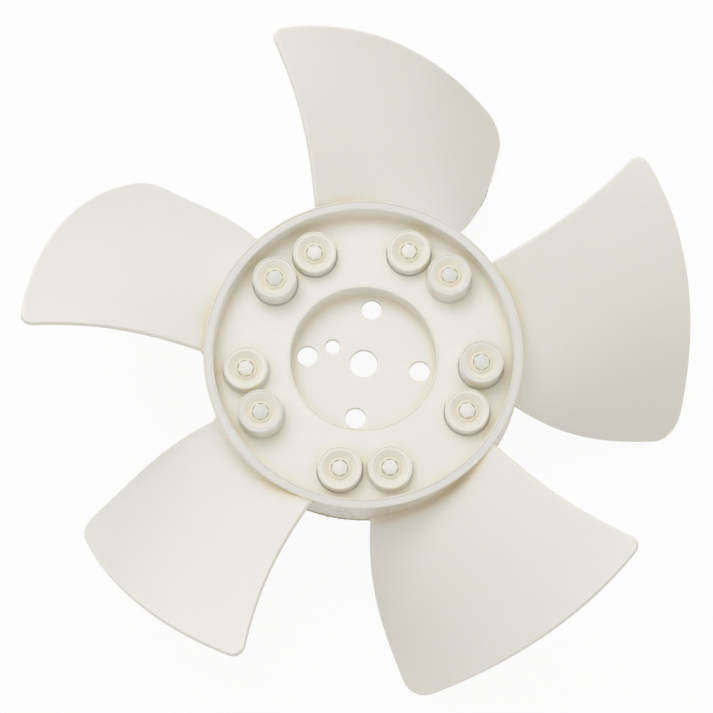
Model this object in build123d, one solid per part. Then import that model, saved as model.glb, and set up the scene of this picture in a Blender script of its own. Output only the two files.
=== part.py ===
"""Axial fan impeller: one moulding with a dished hub, five swept and twisted blades and ten cup bosses.

Millimetres. Origin on the shaft axis, in the rear face of the mounting web, +Z towards the open dish.
"""

import math
import os

from build123d import *

os.makedirs("parts", exist_ok=True)

# hub shell, a body of revolution
HUB_R = 71.3  # outer wall
WALL_T = 3.35  # rim land and skirt
RIM_RISE = 10.2  # rim land above the dish floor
FLOOR_T = 3.0
RECESS_R = 33.7  # central recess, at the level of the dish floor
RECESS_DEPTH = 10.3  # dish floor to web
WEB_T = 2.5
HUB_DEPTH = 27.5  # rim land to the end of the skirt
DRAFT = 0.5  # taper of each dished wall over its height
FOOT_BEVEL = 0.9  # at the foot of each wall
LIP_BEVEL = 0.4  # along each lip

R_DISH = HUB_R - WALL_T
Z_FLOOR = WEB_T + RECESS_DEPTH
Z_RIM = Z_FLOOR + RIM_RISE
Z_SKIRT = Z_RIM - HUB_DEPTH

# mounting web
BORE_R = 6.4
BOLT_COUNT = 4
BOLT_PCD = 52.0
BOLT_HOLE_R = 4.7
PIN_R = 3.5
PIN_OFFSET = 16.35
PIN_ANGLE = 158.8

# cup bosses, in pairs midway between the blades
CUP_CIRCLE_R = 53.4
CUP_FIRST_ANGLE = 135.0  # middle of the first pair
CUP_HALF_ANGLE = 12.1
CUP_R = 9.5
CUP_LAND = 1.6  # ring around the dished top
CUP_DISH = 2.6  # depth of the dished top
CUP_WELL_R = 4.6  # flat at the bottom of the dish
CUP_TALL = 10.0
CUP_SHORT = 5.7
PEG_FLATS = 6.6  # hexagon, across the flats
PEG_POINT = 0.9  # rise of the bevelled peg end above the ring
PEG_BEVEL = 2.4  # width of that bevel
# for each pair, the two bosses clockwise from the front: height and turn of the hexagon
CUP_PAIRS = (
    ((CUP_TALL, 10.0), (CUP_SHORT, 25.0)),
    ((CUP_SHORT, 0.0), (CUP_TALL, 15.0)),
    ((CUP_TALL, 38.0), (CUP_SHORT, 20.0)),
    ((CUP_SHORT, 12.0), (CUP_SHORT, 30.0)),
    ((CUP_TALL, 8.0), (CUP_SHORT, 22.0)),
)

# blades
BLADE_COUNT = 5
PITCH = 360.0 / BLADE_COUNT
FAN_R = 150.0
ROOT_R = HUB_R - WALL_T / 2  # blades end inside the hub wall
BLADE_T = 3.0
FRONT_CORNER_R = 5.0
REAR_CORNER_R = 9.0
EDGE_BEVEL = 0.8  # along the blade edges
# middle of the plate at its two edges, at even stations from the tip to the root:
# angle about the axis in degrees, and rise above the rim land
FRONT_ANGLES = (114.6, 113.1, 113.2, 116.2)
FRONT_RISES = (29.0, 20.6, 11.0, -1.5)
REAR_ANGLES = (70.7, 67.8, 64.9, 65.1)
REAR_RISES = (-71.5, -64.0, -47.2, -24.8)
# camber of the tip chord, fading out evenly towards the root
TIP_BOW = 24.4
TIP_SKEW = 40.5  # moves the deepest camber towards the rear edge

SINK = 1.0  # how far a boss runs down into the dish floor
SKIN_GRID = 8
SKIN_TOL = 0.05
SKIN_MARGIN = 0.06  # the skin runs on past the outline before it is trimmed
PLAN_POINTS = 9
STEP = 1e-4


def along(stations, s):
    """Value at span fraction s, 0 at the tip and 1 at the root, on the polynomial through the stations."""
    last = len(stations) - 1
    total = 0
    for i, value in enumerate(stations):
        for j in range(len(stations)):
            if j != i:
                value *= (s * last - j) / (i - j)
        total += value
    return total


def polar(radius, degrees, z=0.0):
    a = math.radians(degrees)
    return Vector(radius * math.cos(a), radius * math.sin(a), z)


def spread(low, high, count):
    return [low + (high - low) * i / (count - 1) for i in range(count)]


def corners_at(section, points):
    return [v for v in section.vertices() if any(math.dist((v.X, v.Y), p) < STEP for p in points)]


def hub_shell():
    z_under = Z_FLOOR - FLOOR_T
    r_cup = RECESS_R + FLOOR_T
    rim_outer = (HUB_R, Z_RIM)
    rim_inner = (R_DISH, Z_RIM)
    rim_foot = (R_DISH - DRAFT, Z_FLOOR)
    recess_lip = (RECESS_R, Z_FLOOR)
    recess_foot = (RECESS_R - DRAFT, WEB_T)
    cup_end = (r_cup - DRAFT, 0)
    cup_foot = (r_cup, z_under)
    skirt_foot = (R_DISH, z_under)
    skirt_inner = (R_DISH, Z_SKIRT)
    skirt_outer = (HUB_R, Z_SKIRT)
    outline = Polyline(
        (0, 0), cup_end, cup_foot, skirt_foot, skirt_inner, skirt_outer,
        rim_outer, rim_inner, rim_foot, recess_lip, recess_foot, (0, WEB_T),
        close=True,
    )
    section = make_face(outline)
    lips = corners_at(section, (cup_end, skirt_inner, skirt_outer, rim_outer, rim_inner, recess_lip))
    section = chamfer(lips, LIP_BEVEL)
    section = chamfer(corners_at(section, (cup_foot, skirt_foot, rim_foot, recess_foot)), FOOT_BEVEL)
    return revolve(Plane.XZ * section, axis=Axis.Z)


def web_holes():
    tools = Cylinder(BORE_R, 4 * WEB_T)
    tools += PolarLocations(BOLT_PCD / 2, BOLT_COUNT) * Cylinder(BOLT_HOLE_R, 4 * WEB_T)
    tools += Pos(polar(PIN_OFFSET, PIN_ANGLE)) * Cylinder(PIN_R, 4 * WEB_T)
    return tools


def cup_boss(height, turn):
    wall = CUP_R - CUP_LAND
    well = height - CUP_DISH
    outline = Polyline(
        (0, -SINK), (CUP_R, -SINK), (CUP_R, height), (wall, height), (CUP_WELL_R, well), (0, well),
        close=True,
    )
    section = make_face(outline)
    section = chamfer(corners_at(section, ((CUP_R, height),)), LIP_BEVEL)
    boss = revolve(Plane.XZ * section, axis=Axis.Z)
    hexagon = Rot(0, 0, turn) * RegularPolygon(PEG_FLATS / 2, 6, major_radius=False)
    peg = Pos(0, 0, well - SINK) * extrude(hexagon, CUP_DISH + SINK + PEG_POINT)
    peg = chamfer(peg.edges().group_by(Axis.Z)[-1], PEG_POINT, PEG_BEVEL)
    return boss + peg


def cup_bosses():
    bosses = []
    for n, pair in enumerate(CUP_PAIRS):
        middle = CUP_FIRST_ANGLE - PITCH * n
        for side, (height, turn) in zip((1, -1), pair):
            place = polar(CUP_CIRCLE_R, middle + side * CUP_HALF_ANGLE, Z_FLOOR)
            bosses.append(Pos(place) * cup_boss(height, turn))
    return bosses


def blade_point(s, u):
    angle = along(FRONT_ANGLES, s) * (1 - u) + along(REAR_ANGLES, s) * u
    rise = along(FRONT_RISES, s) * (1 - u) + along(REAR_RISES, s) * u
    bow = u * (1 - u) * (4 * TIP_BOW - TIP_SKEW * (0.5 - u)) * (1 - s)
    return polar(FAN_R + (ROOT_R - FAN_R) * s, angle, Z_RIM + rise + bow)


def blade_skin():
    spans = spread(-SKIN_MARGIN, 1 + SKIN_MARGIN, SKIN_GRID)
    chords = spread(-SKIN_MARGIN, 1 + SKIN_MARGIN, SKIN_GRID)
    grid = [[blade_point(s, u) for u in chords] for s in spans]
    return Face.make_surface_from_array_of_points(grid, tol=SKIN_TOL)


def edge_plan(angles):
    return [polar(FAN_R + (ROOT_R - FAN_R) * s, along(angles, s)) for s in spread(0, 1, PLAN_POINTS)]


def blade_plan():
    front = Spline(*edge_plan(FRONT_ANGLES))
    rear = Spline(*edge_plan(REAR_ANGLES))
    tip = ThreePointArc(front @ 0, polar(FAN_R, (FRONT_ANGLES[0] + REAR_ANGLES[0]) / 2), rear @ 0)
    root = ThreePointArc(front @ 1, polar(ROOT_R, (FRONT_ANGLES[-1] + REAR_ANGLES[-1]) / 2), rear @ 1)
    plan = make_face([front, tip, rear, root])
    plan = fillet(corners_at(plan, (tuple(front @ 0)[:2],)), FRONT_CORNER_R)
    return fillet(corners_at(plan, (tuple(rear @ 0)[:2],)), REAR_CORNER_R)


def is_free_edge(edge):
    x, y, z = edge @ 0.5
    return edge.length > 1.1 * BLADE_T and math.hypot(x, y) > HUB_R + EDGE_BEVEL


def blade():
    column = extrude(blade_plan(), FAN_R, both=True)
    skin = blade_skin() & column
    plate = thicken(skin, amount=BLADE_T / 2, both=True)
    return chamfer(plate.edges().filter_by(is_free_edge), EDGE_BEVEL)


def impeller():
    body = hub_shell() - web_holes()
    one_blade = blade()
    body = body.fuse(*[Rot(0, 0, -PITCH * n) * one_blade for n in range(BLADE_COUNT)])
    return body.fuse(*cup_bosses())


export_step(impeller(), "parts/impeller.step")
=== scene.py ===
"""Axial fan impeller moulded in natural polypropylene: a dished hub, five blades, ten cup bosses."""

import math

import bmesh
import bpy
from mathutils import Matrix, Vector, noise


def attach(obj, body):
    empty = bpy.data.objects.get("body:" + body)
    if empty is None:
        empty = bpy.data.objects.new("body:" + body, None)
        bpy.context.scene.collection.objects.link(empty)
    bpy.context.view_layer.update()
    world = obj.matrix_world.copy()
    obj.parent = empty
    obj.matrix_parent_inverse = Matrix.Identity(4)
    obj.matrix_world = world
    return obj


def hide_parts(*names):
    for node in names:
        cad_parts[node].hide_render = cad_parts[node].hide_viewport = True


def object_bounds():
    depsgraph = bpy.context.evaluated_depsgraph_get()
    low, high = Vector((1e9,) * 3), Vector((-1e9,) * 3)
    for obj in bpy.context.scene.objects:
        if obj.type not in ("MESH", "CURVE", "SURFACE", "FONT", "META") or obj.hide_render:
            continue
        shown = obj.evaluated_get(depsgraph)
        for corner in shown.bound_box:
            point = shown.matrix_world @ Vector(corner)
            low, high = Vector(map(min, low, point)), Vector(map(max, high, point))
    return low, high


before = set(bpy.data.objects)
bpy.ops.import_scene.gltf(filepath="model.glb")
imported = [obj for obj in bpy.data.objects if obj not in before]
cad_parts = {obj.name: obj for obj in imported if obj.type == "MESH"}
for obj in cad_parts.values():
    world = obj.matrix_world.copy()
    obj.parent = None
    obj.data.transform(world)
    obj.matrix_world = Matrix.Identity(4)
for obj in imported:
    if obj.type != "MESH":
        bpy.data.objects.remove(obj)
cad_low, cad_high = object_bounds()

MM = 0.001

# hub shell
HUB_R = 71.3
WALL_T = 3.35
WEB_T = 2.5
Z_FLOOR = 12.8
Z_RIM = 23.0
Z_SKIRT = -4.5
FLOOR_T = 3.0
RECESS_R = 33.7
DRAFT = 0.5
FOOT_R = 0.9  # hollow radius at the foot of each wall
LIP_R = 0.45  # round on each lip
HUB_SIDES = 240

# holes in the mounting web: radius, distance from the axis, angle
BORE = (6.4, 0.0, 0.0)
BOLTS = [(4.7, 26.0, 90.0 * n) for n in range(4)]
LOCATING_HOLE = (3.5, 16.35, 158.8)
HOLE_LIP = 0.35
HOLE_SIDES = 64

# cup bosses
CUP_CIRCLE_R = 53.4
CUP_FIRST_ANGLE = 135.0
CUP_HALF_ANGLE = 12.1
CUP_R = 9.5
CUP_LAND = 1.6
CUP_DISH = 2.6
CUP_WELL_R = 4.6
CUP_SINK = 0.6
CUP_SIDES = 72
PEG_FLATS = 6.6
PEG_POINT = 0.9
TALL, SHORT = 10.0, 5.7
# for each pair, the two bosses clockwise: height and turn of the hexagonal peg
CUP_PAIRS = (
    ((TALL, 10.0), (SHORT, 25.0)),
    ((SHORT, 0.0), (TALL, 15.0)),
    ((TALL, 38.0), (SHORT, 20.0)),
    ((SHORT, 12.0), (SHORT, 30.0)),
    ((TALL, 8.0), (SHORT, 22.0)),
)

# blades: middle of the plate at its two edges, at even stations from the tip to the root
BLADE_COUNT = 5
PITCH = 360.0 / BLADE_COUNT
FAN_R = 149.93
ROOT_R = HUB_R - WALL_T / 2
BLADE_T = 3.0
EDGE_R = 0.8
FRONT_CORNER_R = 5.0
REAR_CORNER_R = 9.0
FRONT_ANGLES = (114.6, 113.1, 113.2, 116.2)
FRONT_RISES = (28.85, 20.6, 11.0, -1.5)
REAR_ANGLES = (70.7, 67.8, 64.9, 65.1)
REAR_RISES = (-71.5, -64.0, -47.2, -24.8)
TIP_BOW = 24.4
TIP_SKEW = 40.5
ROOT_FILLET = 1.6
BELOW_RIM = 0.25  # how far the root stays under the rim

# dirt, flash and painted shade
SOILED_WALL = (-118.0, -62.0)  # angles along the hub wall
# angles of the corner under the rim that gets brown painted shade, on the wall and the blade roots
PAINTED_SHADE_CORNER = (-78.0, -42.0)
SOIL_AND_SHADE_FADE = 6.0  # degrees over which soiling and painted shade fade out
RIM_FLASH = (-31.0, -12.0)
SKIRT_FLASH = (-112.0, -70.0)
RIM_CREASE = (-144.0, -120.0)
TIP_TEAR = (0.30, 0.39)  # span fractions along the first blade's rear edge
# span fractions along the first blade's rear edge that get a dark painted shadow strip
EDGE_SHADOW_SPAN = (0.43, 0.58)
SPECK_R = 0.26
SPECK_PLACES = ((59.6, -48.2), (54.3, 21.3), (45.5, -61.0))  # radius and angle

# viewpoint
VIEW_AZIMUTH = 10.555
VIEW_ELEVATION = 74.421
VIEW_ROLL = -2.402
VIEW_TARGET = Vector((-2.606, -2.797, 23.0)) * MM
VIEW_DISTANCE = 896.6 * MM
LENS = 100.94
SENSOR = 36.0


def linear(hex_colour):
    """sRGB hex to linear RGBA."""
    channels = [int(hex_colour[i:i + 2], 16) / 255 for i in (1, 3, 5)]
    return [c / 12.92 if c <= 0.04045 else ((c + 0.055) / 1.055) ** 2.4 for c in channels] + [1.0]


def polar(radius, degrees, z=0.0):
    a = math.radians(degrees)
    return Vector((radius * math.cos(a), radius * math.sin(a), z))


def spread(low, high, count):
    return [low + (high - low) * i / (count - 1) for i in range(count)]


def smoothstep(low, high, x):
    t = min(max((x - low) / (high - low), 0.0), 1.0)
    return t * t * (3 - 2 * t)


# ---------------------------------------------------------------- meshes

def new_piece(name, mesh_data, material):
    """Turns a bmesh in millimetres into a smooth piece of the moulding."""
    bmesh.ops.scale(mesh_data, vec=(MM, MM, MM), verts=mesh_data.verts)
    bmesh.ops.recalc_face_normals(mesh_data, faces=mesh_data.faces)
    mesh = bpy.data.meshes.new(name)
    mesh_data.to_mesh(mesh)
    mesh_data.free()
    mesh.polygons.foreach_set("use_smooth", [True] * len(mesh.polygons))
    piece = bpy.data.objects.new(name, mesh)
    bpy.context.collection.objects.link(piece)
    mesh.materials.append(material)
    return piece


def rounded(outline, radii, steps=5):
    """Closed outline of (r, z) corners with each corner turned into an arc of its radius."""
    points = []
    count = len(outline)
    for i, radius in enumerate(radii):
        here = Vector(outline[i])
        back = (Vector(outline[i - 1]) - here).normalized()
        ahead = (Vector(outline[(i + 1) % count]) - here).normalized()
        if radius == 0:
            points.append(here)
            continue
        half = back.angle(ahead) / 2
        middle = here + (back + ahead).normalized() * (radius / math.sin(half))
        start = here + back * (radius / math.tan(half)) - middle
        end = here + ahead * (radius / math.tan(half)) - middle
        points.append(middle + start)
        points += [middle + start.slerp(end, k / steps) for k in range(1, steps)]
        points.append(middle + end)
    return points


def lathe(outline, sides):
    """Spins a closed (r, z) outline; points on the axis become one vertex each."""
    made = bmesh.new()
    rings = []
    for r, z in outline:
        if r < 1e-6:
            rings.append([made.verts.new((0, 0, z))] * sides)
            continue
        rings.append([made.verts.new(polar(r, 360.0 * k / sides, z)) for k in range(sides)])
    for a, b in zip(rings, rings[1:] + rings[:1]):
        for k in range(sides):
            corners = []
            for v in (a[k], a[(k + 1) % sides], b[(k + 1) % sides], b[k]):
                if v not in corners:
                    corners.append(v)
            if len(corners) > 2:
                made.faces.new(corners)
    return made


def hole_cutter(radius, offset, angle):
    """Plug that leaves a hole with both lips rounded."""
    lip = HOLE_LIP
    turns = spread(0, math.pi / 2, 5)
    flare = [(radius + lip * (1 - math.sin(t)), WEB_T - lip * (1 - math.cos(t))) for t in turns]
    outline = [(0, 2 * WEB_T), (radius + lip, 2 * WEB_T)] + flare
    outline += [(r, WEB_T - z) for r, z in reversed(flare)]
    outline += [(radius + lip, -WEB_T), (0, -WEB_T)]
    made = lathe(outline, HOLE_SIDES)
    bmesh.ops.translate(made, vec=polar(offset, angle), verts=made.verts)
    return made


def hub_shell(material):
    z_under = Z_FLOOR - FLOOR_T
    r_cup = RECESS_R + FLOOR_T
    r_dish = HUB_R - WALL_T
    web_bands = (14.0, 24.0)
    corners = [
        (0, 0, 0), (web_bands[0], 0, 0), (web_bands[1], 0, 0),
        (r_cup - DRAFT, 0, LIP_R), (r_cup, z_under, FOOT_R), (r_dish, z_under, FOOT_R),
        (r_dish, Z_SKIRT, LIP_R), (HUB_R, Z_SKIRT, LIP_R), (HUB_R, 3, 0), (HUB_R, 9, 0), (HUB_R, 15, 0),
        (HUB_R, 20, 0), (HUB_R, Z_RIM, LIP_R), (r_dish, Z_RIM, LIP_R),
        (r_dish - DRAFT, Z_FLOOR, FOOT_R), (RECESS_R, Z_FLOOR, LIP_R), (RECESS_R - DRAFT, WEB_T, FOOT_R),
        (web_bands[1], WEB_T, 0), (web_bands[0], WEB_T, 0), (0, WEB_T, 0),
    ]
    outline = rounded([c[:2] for c in corners], [c[2] for c in corners])
    hub = new_piece("hub", lathe(outline, HUB_SIDES), material)
    for n, hole in enumerate([BORE, *BOLTS, LOCATING_HOLE]):
        combine(hub, new_piece(f"plug_{n}", hole_cutter(*hole), material), "DIFFERENCE")
    return hub


def combine(body, tool, operation):
    """Cuts the tool from the body or joins it on, and removes the tool."""
    change = body.modifiers.new("change", "BOOLEAN")
    change.operation = operation
    change.solver = "EXACT"
    change.object = tool
    bpy.context.view_layer.update()
    changed = body.evaluated_get(bpy.context.evaluated_depsgraph_get())
    body.data = bpy.data.meshes.new_from_object(changed)
    body.modifiers.clear()
    mesh = tool.data
    bpy.data.objects.remove(tool)
    bpy.data.meshes.remove(mesh)


def even_normals(piece):
    """Flats shade flat right up to their rounded edges."""
    weigh = piece.modifiers.new("even normals", "WEIGHTED_NORMAL")
    weigh.mode = "FACE_AREA"
    weigh.weight = 90
    weigh.keep_sharp = True


def store_dirt_and_shade(piece, layer_name, amount):
    """Stores a value from 0 to 1 at each point of the piece, for the plastic's finish to read as dirt, and
    on one layer also as painted shade.
    """
    layer = piece.data.attributes.new(layer_name, "FLOAT", "POINT")
    layer.data.foreach_set("value", [amount(v.co / MM) for v in piece.data.vertices])


def angle_window(p, span, fade):
    """1 inside the span of angles, falling to 0 across its two ends."""
    angle = math.degrees(math.atan2(p.y, p.x))
    begun = smoothstep(span[0] - fade, span[0] + fade, angle)
    ended = smoothstep(span[1] - fade, span[1] + fade, angle)
    return begun * (1 - ended)


def on_side_wall(p):
    return abs(math.hypot(p.x, p.y) - HUB_R) < 0.3 and p.z < Z_RIM - 0.5


def wall_grime(p):
    """Dirt that has settled on the hub wall below the rim, on one side."""
    return angle_window(p, SOILED_WALL, SOIL_AND_SHADE_FADE) if on_side_wall(p) else 0.0


def wall_soiling_and_corner_shade(p):
    """Faint all-over soiling of the same stretch, and brown painted shade in the corner under the rim."""
    if not on_side_wall(p):
        return 0.0
    return 0.08 * angle_window(p, SOILED_WALL, SOIL_AND_SHADE_FADE) + 0.35 * angle_window(p, PAINTED_SHADE_CORNER, SOIL_AND_SHADE_FADE)


def root_corner_shade(p):
    """Brown painted shade along the corner between a blade and the hub wall."""
    from_wall = math.hypot(p.x, p.y) - HUB_R
    if from_wall < 0.2:
        return 0.0
    return 0.55 * (1 - smoothstep(0.3, 5.0, from_wall)) * angle_window(p, PAINTED_SHADE_CORNER, SOIL_AND_SHADE_FADE)


# ---------------------------------------------------------------- cup bosses

def cup_boss(name, height, turn, place, material):
    wall = CUP_R - CUP_LAND
    well = height - CUP_DISH
    turns = spread(0, math.pi / 2, 6)
    flare = [(CUP_R + FOOT_R * (1 - math.sin(t)), FOOT_R * (1 - math.cos(t))) for t in turns]
    corners = [
        (CUP_R, FOOT_R, 0), (CUP_R, height, 0.45), (wall, height, 0.9),
        (CUP_WELL_R, well, 2.5), (0, well, 0),
    ]
    foot = [(0, -CUP_SINK, 0), (CUP_R + FOOT_R, -CUP_SINK, 0)]
    outline = rounded([c[:2] for c in foot + corners], [c[2] for c in foot + corners], steps=6)
    outline[2:2] = flare[:-1]
    made = lathe(outline, CUP_SIDES)
    bmesh.ops.translate(made, vec=place, verts=made.verts)
    cup = new_piece(name, made, material)
    combine(cup, peg(well, height, turn, place, material), "UNION")
    return cup


def peg(well, height, turn, place, material):
    """Hexagonal peg with a bevelled, slightly pointed end, standing in the well."""
    made = bmesh.new()
    across_corners = PEG_FLATS / math.sqrt(3)
    levels = ((well - CUP_SINK, 1.2), (well + 0.2, 1.16), (height - 0.5, 1.0), (height + 0.1, 0.84))
    rings = []
    for z, size in levels:
        corners = [polar(across_corners * size, 60 * side + turn, z) for side in range(6)]
        rings.append([made.verts.new(corner) for corner in corners])
    for a, b in zip(rings, rings[1:]):
        for k in range(6):
            made.faces.new((a[k], a[(k + 1) % 6], b[(k + 1) % 6], b[k]))
    point = made.verts.new((0, 0, height + PEG_POINT))
    for k in range(6):
        made.faces.new((rings[-1][k], rings[-1][(k + 1) % 6], point))
    made.faces.new(list(reversed(rings[0])))
    bmesh.ops.translate(made, vec=place, verts=made.verts)
    return new_piece("peg", made, material)


# ---------------------------------------------------------------- blades

def along(stations, s):
    """Value at the span fraction s, 0 at the tip and 1 at the root, on the stations' curve."""
    last = len(stations) - 1
    total = 0
    for i, value in enumerate(stations):
        for j in range(len(stations)):
            if j != i:
                value *= (s * last - j) / (i - j)
        total += value
    return total


def blade_point(s, u):
    angle = along(FRONT_ANGLES, s) * (1 - u) + along(REAR_ANGLES, s) * u
    rise = along(FRONT_RISES, s) * (1 - u) + along(REAR_RISES, s) * u
    bow = u * (1 - u) * (4 * TIP_BOW - TIP_SKEW * (0.5 - u)) * (1 - s)
    return polar(FAN_R + (ROOT_R - FAN_R) * s, angle, Z_RIM + rise + bow)


def blade_normal(s, u):
    step = 1e-3
    here = blade_point(s, u)
    normal = (blade_point(s + step, u) - here).cross(blade_point(s, u + step) - here).normalized()
    return normal if normal.z > 0 else -normal


def corner_inset(depth, radius):
    """How far a rounded tip corner cuts in from the side edge, at a depth below the tip."""
    return radius - math.sqrt(max(radius**2 - (radius - depth) ** 2, 0)) if depth < radius else 0.0


def blade(name, turn, material):
    """Plate with rounded edges and tip corners, flaring into a fillet where it meets the hub wall."""
    span = FAN_R - ROOT_R
    wall = HUB_R - ROOT_R
    depths = {EDGE_R}
    for radius in (FRONT_CORNER_R, REAR_CORNER_R):
        depths |= {EDGE_R + radius * (1 - math.cos(t)) for t in spread(0.15, math.pi / 2, 8)}
    depths |= set(spread(EDGE_R + REAR_CORNER_R, span - wall - ROOT_FILLET, 44))
    depths |= {span - wall - ROOT_FILLET * math.cos(t) for t in spread(0, math.pi / 2, 6)}
    rows = sorted({round(depth, 3) for depth in depths | {span}})
    columns = 48
    made = bmesh.new()
    middles = []
    for depth in rows:
        s = depth / span
        radius = FAN_R - depth
        arc = math.radians(along(FRONT_ANGLES, s) - along(REAR_ANGLES, s)) * radius
        front_in = (EDGE_R * 0.95 + corner_inset(depth - EDGE_R, FRONT_CORNER_R)) / arc
        rear_in = (EDGE_R * 0.95 + corner_inset(depth - EDGE_R, REAR_CORNER_R)) / arc
        middles.append([(s, u) for u in spread(front_in, 1 - rear_in, columns)])
    points = [[blade_point(s, u) for s, u in row] for row in middles]
    normals = [[blade_normal(s, u) for s, u in row] for row in middles]

    def half_thickness(s):
        from_wall = span - wall - s * span
        flare = 0.0
        if from_wall < ROOT_FILLET:
            short = ROOT_FILLET - max(from_wall, 0)
            flare = ROOT_FILLET - math.sqrt(max(ROOT_FILLET**2 - short**2, 0))
        return BLADE_T / 2 + flare

    def sheet_of(sign):
        grid = []
        for row, places, across in zip(middles, points, normals):
            line = []
            for (s, u), place, normal in zip(row, places, across):
                spot = place + normal * sign * half_thickness(s)
                spot.z = min(spot.z, Z_RIM - BELOW_RIM) if s * span > span - wall - 3 else spot.z
                line.append(made.verts.new(spot))
            grid.append(line)
        return grid

    top, bottom = sheet_of(1), sheet_of(-1)
    for grid in (top, bottom):
        for a, b in zip(grid, grid[1:]):
            for k in range(columns - 1):
                made.faces.new((a[k], a[k + 1], b[k + 1], b[k]))

    # rim of the plate: up the front edge from the root, across the tip, down the rear edge
    last = len(rows) - 1
    walk = [(i, 0) for i in range(last, 0, -1)] + [(0, k) for k in range(columns)]
    walk += [(i, columns - 1) for i in range(1, last + 1)]
    half_turn = spread(0, math.pi, 9)[1:-1]
    loops = [[top[i][k] for i, k in walk]]
    for t in half_turn:
        loop = []
        for n, (i, k) in enumerate(walk):
            before = points[walk[max(n - 1, 0)][0]][walk[max(n - 1, 0)][1]]
            after = points[walk[min(n + 1, len(walk) - 1)][0]][walk[min(n + 1, len(walk) - 1)][1]]
            normal = normals[i][k]
            out = (after - before).cross(normal).normalized()
            if out.dot(points[i][k] - points[last // 2][columns // 2]) < 0:
                out = -out
            lift = half_thickness(middles[i][k][0]) - EDGE_R
            high = lift if t < math.pi / 2 else -lift
            if abs(t - math.pi / 2) < 1e-6:
                high = 0
            spot = points[i][k] + out * EDGE_R * math.sin(t) + normal * (high + EDGE_R * math.cos(t))
            spot.z = min(spot.z, Z_RIM - BELOW_RIM) if i > last - 7 else spot.z
            loop.append(made.verts.new(spot))
        loops.append(loop)
    loops.append([bottom[i][k] for i, k in walk])
    for a, b in zip(loops, loops[1:]):
        for k in range(len(walk) - 1):
            made.faces.new((a[k], a[k + 1], b[k + 1], b[k]))
    # close the buried root end
    for k in range(columns - 1):
        made.faces.new((top[last][k], top[last][k + 1], bottom[last][k + 1], bottom[last][k]))
    for end in (0, -1):
        made.faces.new([loop[end] for loop in loops])
    place = Matrix.Rotation(math.radians(turn), 3, "Z")
    bmesh.ops.rotate(made, cent=(0, 0, 0), matrix=place, verts=made.verts)
    return new_piece(name, made, material)


# ---------------------------------------------------------------- flash, dirt and a painted shadow strip

def ragged_strip(name, path, outward, upward, reach, thickness, seed, material):
    """Thin torn fin along a path: three points at each station, the outer one uneven."""
    made = bmesh.new()
    rings = []
    for n, place in enumerate(path):
        ends = max(math.sin(math.pi * n / (len(path) - 1)), 0.0) ** 0.4
        tear = 0.35 + 0.65 * abs(noise.noise(Vector((n * 0.37, seed, 0.0)))) * 2
        out, up = outward(place), upward(place)
        lift = noise.noise(Vector((n * 0.21, seed, 5.0))) * thickness
        spots = (
            place - out * 0.3 + up * thickness / 2,
            place + out * reach * tear * ends + up * lift,
            place - out * 0.3 - up * thickness / 2,
        )
        rings.append([made.verts.new(spot) for spot in spots])
    for a, b in zip(rings, rings[1:]):
        for k in range(3):
            made.faces.new((a[k], a[(k + 1) % 3], b[(k + 1) % 3], b[k]))
    for ring in (rings[0], rings[-1]):
        made.faces.new(ring)
    return new_piece(name, made, material)


def hub_strip(name, span, radius, z, reach, thickness, material):
    """Torn fin round part of the hub."""
    start, end = span
    path = [polar(radius, angle, z) for angle in spread(start, end, round(abs(end - start) * 4))]
    return ragged_strip(
        name, path, lambda p: Vector((p.x, p.y, 0)).normalized(), lambda p: Vector((0, 0, 1)),
        reach, thickness, abs(start), material,
    )


def rear_edge_strip(name, span, reach, thickness, material):
    """Ragged strip along the rear edge of the first blade, between two span fractions: a torn fin in
    plastic, a painted shadow strip in the dark dirt material.
    """
    stations = spread(*span, 40)
    path = [blade_point(s, 1.0) for s in stations]
    ahead = [blade_point(s, 0.99) for s in stations]
    directions = {tuple(p): (p - a).normalized() for p, a in zip(path, ahead)}
    normals = {tuple(p): blade_normal(s, 1.0) for p, s in zip(path, stations)}
    return ragged_strip(
        name, path, lambda p: directions[tuple(p)], lambda p: normals[tuple(p)],
        reach, thickness, span[0] * 100, material,
    )


def specks(material):
    """Grains of dirt on the dish floor, flat and under a millimetre across."""
    made = bmesh.new()
    places = [polar(r, angle, Z_FLOOR) for r, angle in SPECK_PLACES]
    for n, place in enumerate(places):
        radius = SPECK_R * (0.7 + 0.5 * (n % 3) / 2)
        grain = bmesh.ops.create_icosphere(made, subdivisions=2, radius=radius)
        bmesh.ops.scale(made, vec=(1.0, 0.7, 0.35), verts=grain["verts"])
        bmesh.ops.translate(made, vec=place, verts=grain["verts"])
    return new_piece("dirt_specks", made, material)


# ---------------------------------------------------------------- materials

def add_node(tree, kind, settings=None, inputs=None):
    """Adds a node; inputs may be values or sockets of other nodes."""
    node = tree.nodes.new(kind)
    for key, value in (settings or {}).items():
        setattr(node, key, value)
    for key, value in (inputs or {}).items():
        if isinstance(value, bpy.types.NodeSocket):
            tree.links.new(value, node.inputs[key])
        else:
            node.inputs[key].default_value = value
    return node


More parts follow.
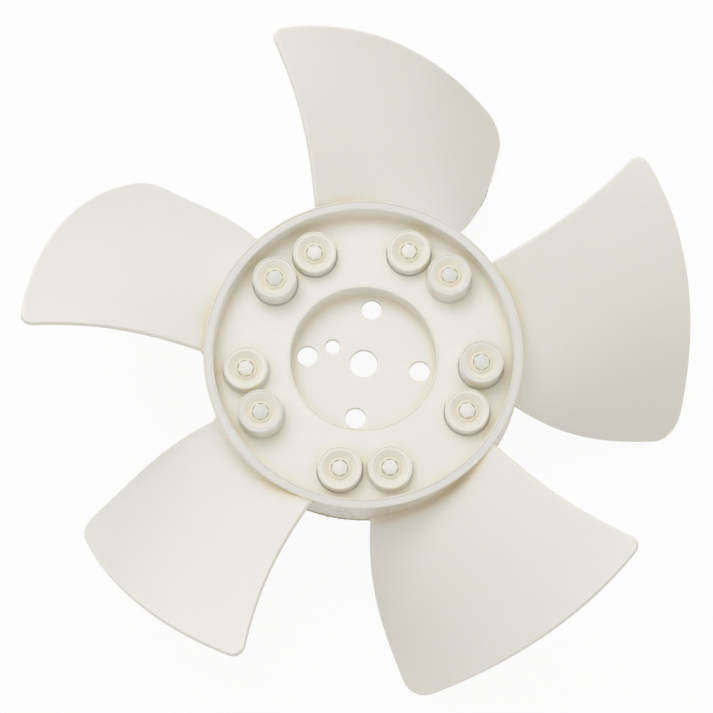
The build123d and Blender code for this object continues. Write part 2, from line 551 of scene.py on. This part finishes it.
def moulded_polypropylene():
    """Natural polypropylene, injection moulded and unpainted.

    Light soaks in about a millimetre, which softens edges, and hollows get a painted warm shade. The rim's
    top face gets painted light, paler and cooler. The skin has a soft sheen with a faint orange peel, hair
    scratches, and soiling where the two layers say so; the second layer also paints brown shade into the
    corner under the rim and along the blade roots.
    """
    material = bpy.data.materials.new("moulded natural polypropylene")
    material.use_nodes = True
    tree = material.node_tree
    tree.nodes.clear()
    place = add_node(tree, "ShaderNodeTexCoord").outputs["Object"]
    # slow drift of tone, 40 mm across, from uneven cooling
    drift = add_node(tree, "ShaderNodeTexNoise", None, {
        "Vector": place, "Scale": 1 / (40 * MM), "Detail": 2.0,
    })
    tone = add_node(tree, "ShaderNodeMix", {"data_type": "RGBA"}, {
        "Factor": drift.outputs["Fac"], "A": linear("#F1F0EB"), "B": linear("#EFEEE8"),
    })
    # painted light on the rim's top face, paler and cooler than the moulded skin
    height = add_node(tree, "ShaderNodeSeparateXYZ", None, {"Vector": place}).outputs["Z"]
    radius = add_node(tree, "ShaderNodeVectorMath", {"operation": "LENGTH"}, {0: place}).outputs["Value"]
    on_rim = add_node(tree, "ShaderNodeMapRange", {"interpolation_type": "SMOOTHSTEP"}, {
        "Value": height, "From Min": (Z_RIM - 0.4) * MM, "From Max": (Z_RIM - 0.1) * MM,
    })
    in_hub = add_node(tree, "ShaderNodeMath", {"operation": "LESS_THAN"}, {0: radius, 1: (HUB_R + 5) * MM})
    rim_light_paint = add_node(tree, "ShaderNodeMath", {"operation": "MULTIPLY"}, {
        0: on_rim.outputs["Result"], 1: in_hub.outputs[0],
    })
    tone = add_node(tree, "ShaderNodeMix", {"data_type": "RGBA"}, {
        "Factor": rim_light_paint.outputs[0], "A": tone.outputs["Result"], "B": linear("#E4E5E2"),
    })
    # dirt in thin squiggles, half a millimetre wide, along the level lines of a 5 mm pattern
    swirl = add_node(tree, "ShaderNodeTexNoise", None, {
        "Vector": place, "Scale": 1 / (5 * MM), "Detail": 4.0, "Roughness": 0.65, "Distortion": 1.2,
    })
    level = add_node(tree, "ShaderNodeMath", {"operation": "SUBTRACT"}, {0: swirl.outputs["Fac"], 1: 0.5})
    level = add_node(tree, "ShaderNodeMath", {"operation": "ABSOLUTE"}, {0: level.outputs[0]})
    squiggle = add_node(tree, "ShaderNodeMapRange", {"interpolation_type": "SMOOTHSTEP"}, {
        "Value": level.outputs[0], "From Min": 0.022, "From Max": 0.0,
    })
    layer = add_node(tree, "ShaderNodeAttribute", {"attribute_name": "grime"})
    grime = add_node(tree, "ShaderNodeMath", {"operation": "MULTIPLY"}, {
        0: squiggle.outputs["Result"], 1: layer.outputs["Fac"],
    })
    tone = add_node(tree, "ShaderNodeMix", {"data_type": "RGBA"}, {
        "Factor": grime.outputs[0], "A": tone.outputs["Result"], "B": linear("#BFB19D"),
    })
    # painted warm shade in corners and hollows within 6 mm
    hollow = add_node(tree, "ShaderNodeAmbientOcclusion", {"samples": 8}, {"Distance": 6 * MM})
    hollow = add_node(tree, "ShaderNodeMapRange", None, {
        "Value": hollow.outputs["AO"], "From Min": 1.0, "From Max": 0.35, "To Max": 0.55,
    })
    tone = add_node(tree, "ShaderNodeMix", {"data_type": "RGBA"}, {
        "Factor": hollow.outputs["Result"], "A": tone.outputs["Result"], "B": linear("#EFE2BE"),
    })
    # second layer: faint soiling of the hub wall, and brown painted shade in the corner under the rim and
    # along the blade roots
    layer = add_node(tree, "ShaderNodeAttribute", {"attribute_name": "stain_and_shade"})
    tone = add_node(tree, "ShaderNodeMix", {"data_type": "RGBA"}, {
        "Factor": layer.outputs["Fac"], "A": tone.outputs["Result"], "B": linear("#BFA982"),
    })
    # hair scratches, 0.3 mm wide and 30 mm long, drawn wider than real so that they show
    combed = add_node(tree, "ShaderNodeMapping", None, {
        "Vector": place, "Rotation": (0.0, 0.0, math.radians(28)), "Scale": (1 / 30, 1 / 0.6, 1 / 30),
    })
    scratch = add_node(tree, "ShaderNodeTexNoise", None, {
        "Vector": combed.outputs["Vector"], "Scale": 1 / MM, "Detail": 2.0,
    })
    scratch = add_node(tree, "ShaderNodeMapRange", None, {
        "Value": scratch.outputs["Fac"], "From Min": 0.66, "From Max": 0.74,
    })
    # orange peel, 1.5 mm across, and dirt standing proud
    peel = add_node(tree, "ShaderNodeTexNoise", None, {
        "Vector": place, "Scale": 1 / (1.5 * MM), "Detail": 3.0,
    })
    relief = add_node(tree, "ShaderNodeMath", {"operation": "SUBTRACT"}, {
        0: peel.outputs["Fac"], 1: scratch.outputs["Result"],
    })
    relief = add_node(tree, "ShaderNodeMath", {"operation": "ADD"}, {
        0: relief.outputs[0], 1: grime.outputs[0],
    })
    bump = add_node(tree, "ShaderNodeBump", None, {
        "Height": relief.outputs[0], "Strength": 0.35, "Distance": 0.12 * MM,
    })
    shader = add_node(tree, "ShaderNodeBsdfPrincipled", None, {
        "Base Color": tone.outputs["Result"], "Roughness": 0.45, "IOR": 1.49,
        "Subsurface Weight": 0.7, "Subsurface Radius": (1.0, 0.92, 0.84), "Subsurface Scale": 0.9 * MM,
        "Normal": bump.outputs["Normal"],
    })
    add_node(tree, "ShaderNodeOutputMaterial", None, {"Surface": shader.outputs["BSDF"]})
    return material


def dirt_and_painted_shadow(name, dark, light):
    """Dust and soot bound with oil: dull, with no sheen, and patchy at half a millimetre. Also serves for
    a dark painted shadow strip.
    """
    material = bpy.data.materials.new(name)
    material.use_nodes = True
    tree = material.node_tree
    tree.nodes.clear()
    place = add_node(tree, "ShaderNodeTexCoord").outputs["Object"]
    patch = add_node(tree, "ShaderNodeTexNoise", None, {
        "Vector": place, "Scale": 1 / (0.5 * MM), "Detail": 3.0,
    })
    tone = add_node(tree, "ShaderNodeMix", {"data_type": "RGBA"}, {
        "Factor": patch.outputs["Fac"], "A": linear(dark), "B": linear(light),
    })
    shader = add_node(tree, "ShaderNodeBsdfPrincipled", None, {
        "Base Color": tone.outputs["Result"], "Roughness": 0.9,
    })
    add_node(tree, "ShaderNodeOutputMaterial", None, {"Surface": shader.outputs["BSDF"]})
    return material


def seeing_rays(tree):
    """Camera, glossy and transmission rays: those that see the backdrop as white."""
    path = add_node(tree, "ShaderNodeLightPath")
    seen = add_node(tree, "ShaderNodeMath", {"operation": "MAXIMUM"}, {
        0: path.outputs["Is Camera Ray"], 1: path.outputs["Is Glossy Ray"],
    })
    return add_node(tree, "ShaderNodeMath", {"operation": "MAXIMUM"}, {
        0: seen.outputs[0], 1: path.outputs["Is Transmission Ray"],
    })


def pale_floor():
    """White sweep that keeps the object's shadow faint."""
    material = bpy.data.materials.new("pale floor")
    material.use_nodes = True
    tree = material.node_tree
    tree.nodes.clear()
    matt = add_node(tree, "ShaderNodeBsdfDiffuse", None, {"Color": linear("#F4F4F2")})
    glow = add_node(tree, "ShaderNodeEmission", None, {"Color": (1, 1, 1, 1), "Strength": 1.0})
    seen = seeing_rays(tree)
    share = add_node(tree, "ShaderNodeMath", {"operation": "MULTIPLY"}, {0: seen.outputs[0], 1: 0.92})
    both = add_node(tree, "ShaderNodeMixShader", None, {
        0: share.outputs[0], 1: matt.outputs[0], 2: glow.outputs[0],
    })
    add_node(tree, "ShaderNodeOutputMaterial", None, {"Surface": both.outputs[0]})
    return material


# ---------------------------------------------------------------- studio

def studio():
    made = bmesh.new()
    bmesh.ops.create_grid(made, x_segments=1, y_segments=1, size=3.0)
    mesh = bpy.data.meshes.new("floor")
    made.to_mesh(mesh)
    made.free()
    floor = bpy.data.objects.new("floor", mesh)
    floor.location = (0, 0, cad_low.z)
    bpy.context.collection.objects.link(floor)
    mesh.materials.append(pale_floor())

    world = bpy.data.worlds.new("studio")
    bpy.context.scene.world = world
    world.use_nodes = True
    tree = world.node_tree
    tree.nodes.clear()
    seen = seeing_rays(tree)
    fill = add_node(tree, "ShaderNodeBackground", None, {"Color": linear("#FFFAF3"), "Strength": 0.675})
    white = add_node(tree, "ShaderNodeBackground", None, {"Color": (1, 1, 1, 1), "Strength": 1.0})
    both = add_node(tree, "ShaderNodeMixShader", None, {
        0: seen.outputs[0], 1: fill.outputs[0], 2: white.outputs[0],
    })
    add_node(tree, "ShaderNodeOutputWorld", None, {"Surface": both.outputs[0]})

    lamp("softbox", (-0.45, 0.65, 1.45), 1.1, 8.2)
    lamp("overhead", (0.0, 0.0, 1.8), 1.6, 1.8)


def lamp(name, place, size, power):
    data = bpy.data.lights.new(name, "AREA")
    data.shape = "DISK"
    data.size = size
    data.energy = power
    data.color = linear("#EEF5FF")[:3]
    softbox = bpy.data.objects.new(name, data)
    bpy.context.collection.objects.link(softbox)
    softbox.location = place
    softbox.rotation_mode = "QUATERNION"
    softbox.rotation_quaternion = (-softbox.location).to_track_quat("-Z", "Y")


def viewpoint():
    azimuth, elevation = math.radians(VIEW_AZIMUTH), math.radians(VIEW_ELEVATION)
    back = Vector((
        math.sin(azimuth) * math.cos(elevation),
        -math.cos(azimuth) * math.cos(elevation),
        math.sin(elevation),
    ))
    data = bpy.data.cameras.new("camera")
    data.lens = LENS
    data.sensor_width = SENSOR
    camera = bpy.data.objects.new("camera", data)
    bpy.context.collection.objects.link(camera)
    facing = (-back).to_track_quat("-Z", "Y").to_matrix().to_4x4()
    roll = Matrix.Rotation(math.radians(VIEW_ROLL), 4, "Z")
    camera.matrix_world = Matrix.Translation(VIEW_TARGET + back * VIEW_DISTANCE) @ facing @ roll
    bpy.context.scene.camera = camera


# ---------------------------------------------------------------- assembly

def impeller():
    plastic = moulded_polypropylene()
    moulding = hub_shell(plastic)
    for n, pair in enumerate(CUP_PAIRS):
        middle = CUP_FIRST_ANGLE - PITCH * n
        for side, (height, turn) in zip((1, -1), pair):
            place = polar(CUP_CIRCLE_R, middle + side * CUP_HALF_ANGLE, Z_FLOOR - 0.01)
            combine(moulding, cup_boss("cup_boss", height, turn, place, plastic), "UNION")
    for n in range(BLADE_COUNT):
        combine(moulding, blade("blade", -PITCH * n, plastic), "UNION")
    moulding.name = "impeller_moulding"
    moulding.data.set_sharp_from_angle(angle=math.radians(35))
    even_normals(moulding)
    store_dirt_and_shade(moulding, "grime", wall_grime)
    # faint soiling of the hub wall, with brown painted shade in the corner under the rim and along the
    # blade roots
    store_dirt_and_shade(moulding, "stain_and_shade", lambda p: max(wall_soiling_and_corner_shade(p), root_corner_shade(p)))
    # this dark material also makes the painted shadow strip along the first blade's rear edge
    soot_and_edge_shadow = dirt_and_painted_shadow("oily soot and painted edge shadow", "#5A4D3F", "#8C7B66")
    dust = dirt_and_painted_shadow("settled dust", "#B7AB98", "#D8CFBE")
    pieces = [
        moulding,
        hub_strip("rim_flash", RIM_FLASH, HUB_R, Z_RIM - 1.2, 0.8, 0.8, dust),
        hub_strip("skirt_flash", SKIRT_FLASH, HUB_R, Z_SKIRT + 0.5, 0.9, 0.6, dust),
        hub_strip("rim_crease", RIM_CREASE, HUB_R - 0.1, Z_RIM - 0.8, 0.35, 0.3, soot_and_edge_shadow),
        rear_edge_strip("tip_tear", TIP_TEAR, 0.9, 1.6, plastic),
        # dark strip along the first blade's rear edge: painted shadow where the edge's thickness shows
        rear_edge_strip("painted_edge_shadow", EDGE_SHADOW_SPAN, 1.2, 2.2, soot_and_edge_shadow),
        specks(dust),
    ]
    for piece in pieces:
        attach(piece, "root")
    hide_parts("impeller")


impeller()
studio()
viewpoint()
bpy.context.scene.view_settings.view_transform = "Standard"
